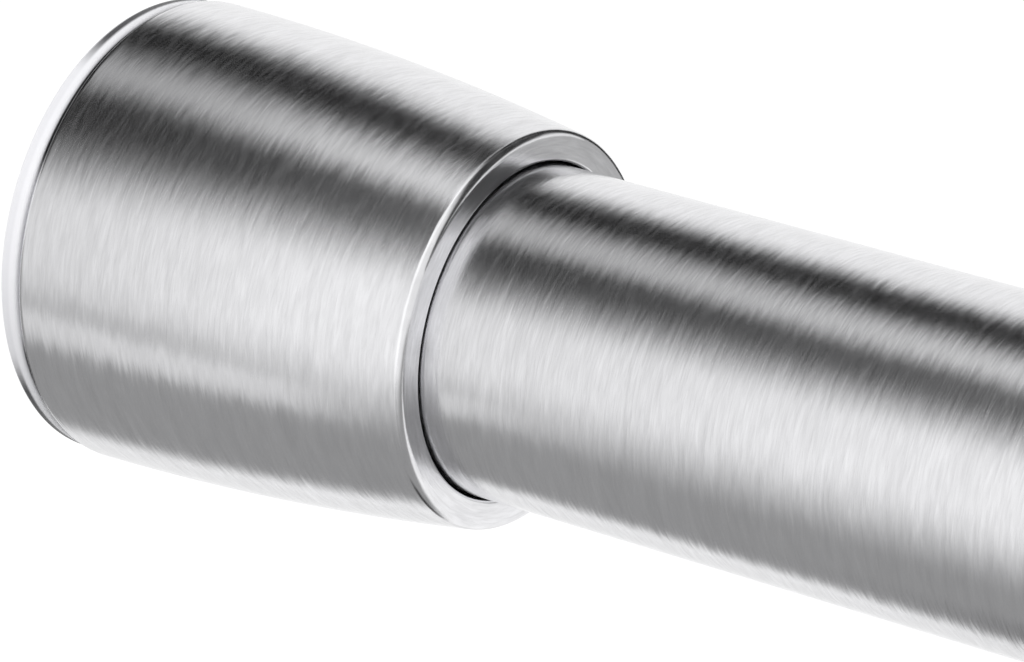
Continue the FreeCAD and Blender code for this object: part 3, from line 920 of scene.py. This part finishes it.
# %% Hang the new pieces on the frame
stand_ins = [
    (near_cover, "outer_end_cover", "outer_side", "cover_steel"),
    (far_cover, "inner_end_cover", "inner_side", "cover_steel"),
    (larger_tube, "outer_tube", "outer_side", "tube_steel"),
    (smaller_tube, "inner_tube", "inner_side", "tube_steel"),
    (near_pad, "outer_wall_pad", "outer_side", "pad_rubber"),
    (far_pad, "inner_wall_pad", "inner_side", "pad_rubber"),
    (mouth_collar, "tube_collar", "outer_side", "collar_plastic"),
    (coil_spring, "tension_spring", "rod", "spring_steel"),
]
for piece, node, body, slot in stand_ins:
    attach(piece, body)
    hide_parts(node)
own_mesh(coil_spring)

# %% [markdown]
# ## The studio
# The rod floats in a white room, over a pale floor. The camera and the reflections see the room and the
# floor as white, and the rest of the light from them is weaker, so that pads and plastics keep their
# shades. Two soft lamps add form to what isn't metal. The floor is clear from below, for views from there.

# %% The white room
world_light = 0.6
white = (1, 1, 1, 1)


def seen_white(tree):
    """A factor that is 1 for camera, glossy and transmission rays, and 0 for the rest."""
    path = add(tree, "ShaderNodeLightPath").outputs
    first = maths(tree, "MAXIMUM", path["Is Camera Ray"], path["Is Glossy Ray"])
    return maths(tree, "MAXIMUM", first, path["Is Transmission Ray"])


world = bpy.data.worlds.new("white room")
bpy.context.scene.world = world
world.use_nodes = True
sky_tree = world.node_tree
sky = sky_tree.nodes["Background"]
feed(sky_tree, white, sky, "Color")
feed(sky_tree, ranged(sky_tree, seen_white(sky_tree), world_light, 1.0), sky, "Strength")
print("light from the room on what isn't metal:", world_light)

# %% The pale floor
floor_depth = 300 * MM
floor_size = 40.0
floor_tone = 0.55
floor_glow = (0.62, 0.68)
floor_glow_distances = (1.0, 6.0)


def show_mixed(tree, share, first, second):
    """Show one shader, and by that share another, as the material's surface."""
    mixed = add(tree, "ShaderNodeMixShader")
    for entry, value in enumerate((share, first, second)):
        feed(tree, value, mixed, entry)
    join(tree, mixed, "Shader", tree.nodes["Material Output"], "Surface")


def pale_floor():
    """The floor's finish. Its glow rises a little with the distance from the wall end."""
    finish, tree, shader = new_finish("pale_floor")
    feed(tree, (floor_tone, floor_tone, floor_tone, 1), shader, "Base Color")
    feed(tree, 1.0, shader, "Roughness")
    feed(tree, 0.0, shader, "Specular IOR Level")
    feed(tree, white, shader, "Emission Color")
    distance = measured(tree, "LENGTH", add(tree, "ShaderNodeTexCoord").outputs["Object"])
    glow = ranged(tree, distance, *floor_glow, *floor_glow_distances)
    feed(tree, maths(tree, "MULTIPLY", glow, seen_white(tree)), shader, "Emission Strength")
    below = add(tree, "ShaderNodeNewGeometry").outputs["Backfacing"]
    clear = add(tree, "ShaderNodeBsdfTransparent").outputs["BSDF"]
    show_mixed(tree, below, shader.outputs["BSDF"], clear)
    return finish


half_floor = floor_size / 2
floor_mesh = bpy.data.meshes.new("floor")
floor_ways = ((-1, -1), (1, -1), (1, 1), (-1, 1))
floor_corners = [(x * half_floor, y * half_floor, -floor_depth) for x, y in floor_ways]
floor_mesh.from_pydata(floor_corners, [], [(0, 1, 2, 3)])
floor_mesh.materials.append(pale_floor())
floor = placed("floor", floor_mesh)
print("the floor lies", floor_depth, "m below the rod's axis")

# %% Two soft lamps
lamp_aim = Vector((0.3, 0, 0))


def soft_lamp(name, place, watts, size):
    """A square lamp that looks at the rod's middle and isn't seen in the metal."""
    lamp = placed(name, bpy.data.lights.new(name, "AREA"))
    lamp.data.energy = watts
    lamp.data.size = size
    lamp.location = place
    lamp.rotation_mode = "QUATERNION"
    lamp.rotation_quaternion = (lamp_aim - Vector(place)).to_track_quat("-Z", "Y")
    lamp.visible_glossy = False
    print(name, "gives", watts, "W")


soft_lamp("key_lamp", (-0.5, -1.3, 1.5), 22.0, 1.0)
soft_lamp("fill_lamp", (1.6, -1.0, 0.6), 5.0, 1.2)

# %% [markdown]
# ## Cards that only reflections show
# Brushed metal has hardly any colour of its own: what it shows is the room. A white room would leave the
# rod white, so cards hang about it that only reflections show. A picture of a real room could light it
# too, but its bands couldn't be moved one by one. Most cards are bent round the rod's axis: their angles
# say where on the round side they show, and a nearer card hides one behind it. A few are flat. A card's
# edges fade, which keeps the bands on the metal soft.

# %% A card that only reflections show
def eased(value, start, end):
    """A smooth step from 0 at start to 1 at end."""
    share = min(1.0, max(0.0, (value - start) / (end - start)))
    return share * share * (3 - 2 * share)


def swell(value, start, full, fading, end):
    """How dense a card is there: it fades in from start to full, and out from fading to end."""
    return eased(value, start, full) * (1 - eased(value, fading, end))


def card_finish(name):
    """A finish that glows by a card's light where the card is dense, and is clear where it isn't."""
    finish, tree = new_finish(name)[:2]
    density = add(tree, "ShaderNodeAttribute", {"attribute_name": "veil"}).outputs["Fac"]
    light = add(tree, "ShaderNodeAttribute", {"attribute_name": "light"}).outputs["Fac"]
    glow = add(tree, "ShaderNodeEmission")
    feed(tree, light, glow, "Strength")
    clear = add(tree, "ShaderNodeBsdfTransparent").outputs["BSDF"]
    show_mixed(tree, density, clear, glow.outputs["Emission"])
    finish.cycles.emission_sampling = "NONE"
    return finish


def hang(name, rows):
    """Hang a card of rows of (place, density, light) points that only glossy rays see."""
    width = len(rows[0])
    points = [point for row in rows for point in row]
    faces = []
    for low in range(0, len(points) - width, width):
        faces += [(low + i, low + i + 1, low + i + 1 + width, low + i + width) for i in range(width - 1)]
    mesh = bpy.data.meshes.new(name)
    mesh.from_pydata([point[0] for point in points], [], faces)
    mesh.attributes.new("veil", "FLOAT", "POINT").data.foreach_set("value", [p[1] for p in points])
    mesh.attributes.new("light", "FLOAT", "POINT").data.foreach_set("value", [p[2] for p in points])
    mesh.materials.append(card_finish(name))
    made = placed(name, mesh)
    made.visible_camera = False
    made.visible_diffuse = False
    made.visible_shadow = False
    made.visible_transmission = False
    print(name, "hangs with", len(points), "points")


# %% Curved and flat cards
card_angle_step = 3.0
card_length_step = 0.25
board_steps = 12
wall_end_places = [i * 0.02 for i in range(-20, 10)]


def steps_between(marks, most):
    """The marks with even steps of no more than most between them."""
    places = [marks[0]]
    for low, high in zip(marks, marks[1:]):
        count = max(1, math.ceil((high - low) / most))
        places += [low + (high - low) * i / count for i in range(1, count + 1)]
    return places


def ramp(value, start, end, first, last):
    """A straight ramp from first at start to last at end, level outside."""
    return first + (last - first) * min(1.0, max(0.0, (value - start) / (end - start)))


def curved_card(name, light, reach, angles, places, density=1.0, skew=None):
    """A card bent round the rod's axis at that reach. Angles, in degrees from +Y over +Z, and places along
    the rod, in metres, each say where the card starts, is full, fades and ends. Light is a number or a ramp
    along the rod, and skew gives how many degrees the card's angle changes by at a place and an angle.
    Near the wall end the card's points are close together, because the ramps are short there."""
    along = sorted(set(steps_between(places, card_length_step) + wall_end_places))
    along = [x for x in along if places[0] <= x <= places[3]]
    rows = []
    for angle in steps_between(angles, card_angle_step):
        row = []
        for x in along:
            turn = math.radians(angle + (skew(x, angle) if skew else 0))
            dense = density * swell(angle, *angles) * swell(x, *places)
            glow = ramp(x, *light) if isinstance(light, tuple) else light
            row.append(((x, reach * math.cos(turn), reach * math.sin(turn)), dense, glow))
        rows.append(row)
    hang(name, rows)


def board(name, light, middle, across, up, soft, density=1.0):
    """A flat card: across and up lead from its middle to its sides, and soft is the share of its half
    width over which it fades."""
    grid = [i / board_steps for i in range(-board_steps, board_steps + 1)]
    rows = []
    for v in grid:
        row = []
        for u in grid:
            place = Vector(middle) + Vector(across) * u + Vector(up) * v
            dense = density * (1 - eased(abs(u), 1 - soft, 1)) * (1 - eased(abs(v), 1 - soft, 1))
            row.append((tuple(place), dense, light))
        rows.append(row)
    hang(name, rows)


# %% [markdown]
# ## The bands on the sides
# The back card and the front card are grey, each with a dark strip in front of it, and give the two dark
# bands above and the grey between them. The white card gives the light band, the lower card the grey band
# below, and the veil lightens what is under it. The cover line and the cover glow stand so close about the
# cover that they show almost only in it.

# %% Hang the cards that the cover's and the tube's sides show
def back_skew(x, angle):
    """The back card's edges aren't parallel to the rod: they are higher to the right."""
    near_edge = ramp(x, -0.34, -0.19, -2.1, 4.5)
    far_edge = ramp(x, -0.32, -0.2, -1.5, 4.0)
    share = eased(angle, 54, 66)
    return near_edge * (1 - share) + far_edge * share


def front_skew(x, angle):
    """The front card is narrower to the right."""
    rear_edge = ramp(x, -0.13, -0.06, -2.0, 4.4) * (1 - eased(angle, 100, 112))
    return rear_edge + ramp(x, -0.14, -0.05, 3.5, -3.0) * eased(angle, 112, 132)


def low_skew(x, angle):
    """The lower card's rear edge is turned a little near the wall."""
    return ramp(x, -0.18, -0.12, 2.5, -2.5) * eased(angle, 255, 275)


back_run = (-1.6, -1.55, -0.12, -0.06)
front_run = (-1.2, -1.15, -0.005, 0.025)
curved_card("back_card", (-0.28, -0.19, 0.42, 0.78), 0.52, (23, 52, 104, 116), back_run, skew=back_skew)
curved_card("rear_strip", 0.015, 0.51, (34, 54, 62, 86), back_run, skew=back_skew)
curved_card("front_card", 0.45, 0.22, (88, 108, 112, 160), front_run, skew=front_skew)
curved_card(
    "front_strip", (-0.14, -0.05, 0.02, 0.07), 0.21, (88, 105, 113, 151), front_run, skew=front_skew
)
curved_card("white_card", (-0.17, -0.07, 0.82, 1.06), 0.28, (112, 125, 240, 260), front_run)
curved_card("lower_card", 0.335, 0.27, (178, 234, 273, 290), (-1.2, -1.15, 0.1, 0.16), skew=low_skew)
curved_card("low_veil", 0.9, 0.28, (284, 292, 308, 320), (-1.2, -1.15, -0.03, 0.02), 0.8)
curved_card("cover_line", 0.3, 0.06, (190, 195, 197, 202), (-0.08, -0.06, -0.005, 0.005), 0.2)
curved_card("cover_glow", 0.92, 0.06, (200, 205, 211, 220), (-0.07, -0.04, 0.005, 0.015), 0.75)

# %% [markdown]
# ## The lines on the edges
# The small rounds sweep over a wide part of the room. Dark hoops and a strong glow about the wall end draw
# the black and white lines round the cover's front, and the wall cards line its rear edge. The far cards
# and the ring card light what the tube and the cover's front mirror in each other beside the gap.

# %% Hang the cards that the edges and the front show
far_run = (0.06, 0.1, 1.75, 1.8)
curved_card("front_hoop", 0.02, 0.45, (-34, -22, 66, 84), (-0.065, -0.03, 0.13, 0.2))
curved_card("front_glow", 1.3, 0.45, (80, 92, 206, 230), (-0.065, -0.03, 0.18, 0.25))
curved_card("low_hoop", 0.03, 0.26, (248, 260, 278, 290), (-0.05, -0.03, 0.015, 0.067))
curved_card("far_card", 0.5, 0.27, (24, 44, 90, 108), far_run)
curved_card("far_strip", 0.04, 0.26, (10, 28, 78, 92), far_run)
curved_card("far_low", 0.34, 0.27, (171, 236, 270, 290), far_run)
board("ring_card", 0.5, (0.112, 0.1, -0.022), (-0.05, 0.035, 0), (0, 0, 0.038), 0.4)
board("wall_card", 0.02, (-0.35, 0.19, -0.09), (0, 0.16, 0), (0, 0, 0.2), 0.2)
board("low_wall_card", 0.02, (-0.38, 0.16, -0.285), (0, 0.16, 0), (0.09, 0, 0), 0.2)
board("upper_wall_card", 0.02, (-0.36, 0.11, 0.22), (0, 0.24, 0), (0, 0, 0.16), 0.25)
